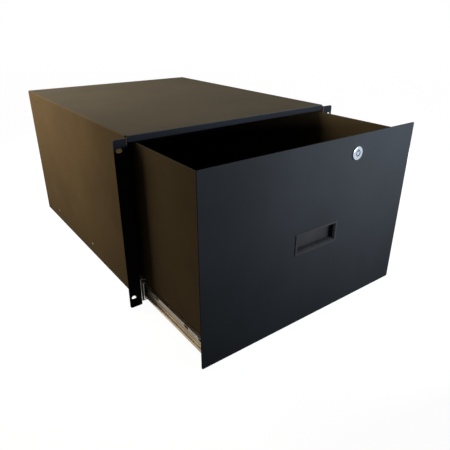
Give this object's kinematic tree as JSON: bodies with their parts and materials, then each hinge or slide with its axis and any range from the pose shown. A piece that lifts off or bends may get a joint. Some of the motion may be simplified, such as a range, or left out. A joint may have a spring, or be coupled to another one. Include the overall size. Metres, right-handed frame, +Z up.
{
  "type": "sliding rack drawer",
  "caption": "Lockable sheet-steel drawer on telescopic ball slides in a rack-mounted case, with a flush pull and a cam lock.",
  "frame": {"origin": "centre of the four rack holes, on the back face of the ears", "axes": "+X to the right seen from the front, +Y from the front towards the back of the case, +Z up; the drawer opens along -Y"},
  "size_m": [0.4826, 0.7639, 0.3074],
  "materials": {
    "case_paint": "satin",
    "tray_paint": "satin",
    "front_paint": "satin",
    "slide_steel": "zinc plated",
    "cage_steel": "plain",
    "ball_steel": "polished",
    "screw_steel": "blackened",
    "bumper_plastic": "matte",
    "buffer_rubber": "matte",
    "pull_plastic": "satin",
    "lock_chrome": "polished"
  },
  "bodies": {
    "case": {"case_side_left": "case_paint", "case_side_right": "case_paint", "rack_ear_left": "case_paint", "rack_ear_right": "case_paint", "case_top": "case_paint", "case_floor": "case_paint", "case_back": "case_paint", "back_screws": "screw_steel", "case_member_left": "slide_steel", "case_member_right": "slide_steel", "case_member_screws_left": "screw_steel", "case_member_screws_right": "screw_steel", "rear_bumper_left": "bumper_plastic", "rear_bumper_right": "bumper_plastic"},
    "slide_middle": {"middle_member_left": "slide_steel", "middle_member_right": "slide_steel"},
    "outer_cages": {"outer_cage_left": "cage_steel", "outer_cage_right": "cage_steel", "outer_balls_left": "ball_steel", "outer_balls_right": "ball_steel"},
    "inner_cages": {"inner_cage_left": "cage_steel", "inner_cage_right": "cage_steel", "inner_balls_left": "ball_steel", "inner_balls_right": "ball_steel"},
    "drawer": {"drawer_tray": "tray_paint", "tray_front": "tray_paint", "tray_back": "tray_paint", "front_panel": "front_paint", "panel_nuts": "slide_steel", "front_buffers": "buffer_rubber", "pull_handle": "pull_plastic", "pull_retainer": "cage_steel", "lock_body": "lock_chrome", "lock_nut": "slide_steel", "drawer_member_left": "slide_steel", "drawer_member_right": "slide_steel", "drawer_member_screws_left": "screw_steel", "drawer_member_screws_right": "screw_steel"},
    "lock_cylinder": {"lock_plug": "lock_chrome", "lock_cam": "slide_steel", "cam_nut": "slide_steel"}
  },
  "joints": [
    {"name": "middle_slide", "type": "slide", "parent": "case", "child": "slide_middle", "axis": [0, -1, 0], "range_m": [-0.004, 0.246]},
    {"name": "drawer_slide", "type": "slide", "parent": "slide_middle", "child": "drawer", "axis": [0, -1, 0], "range_m": [-0.1945, 0.0555]},
    {"name": "outer_cage_slide", "type": "slide", "parent": "case", "child": "outer_cages", "axis": [0, -1, 0], "range_m": [-0.002, 0.123]},
    {"name": "inner_cage_slide", "type": "slide", "parent": "slide_middle", "child": "inner_cages", "axis": [0, -1, 0], "range_m": [-0.09725, 0.02775]},
    {"name": "lock_turn", "type": "hinge", "parent": "drawer", "child": "lock_cylinder", "pos_m": [0.0755, -0.2027, 0.1245], "axis": [0, 1, 0], "range_deg": [0, 90]}
  ],
  "couplings": [
    {"joint": "outer_cage_slide", "follows": "middle_slide", "ratio": 0.5},
    {"joint": "inner_cage_slide", "follows": "drawer_slide", "ratio": 0.5}
  ]
}
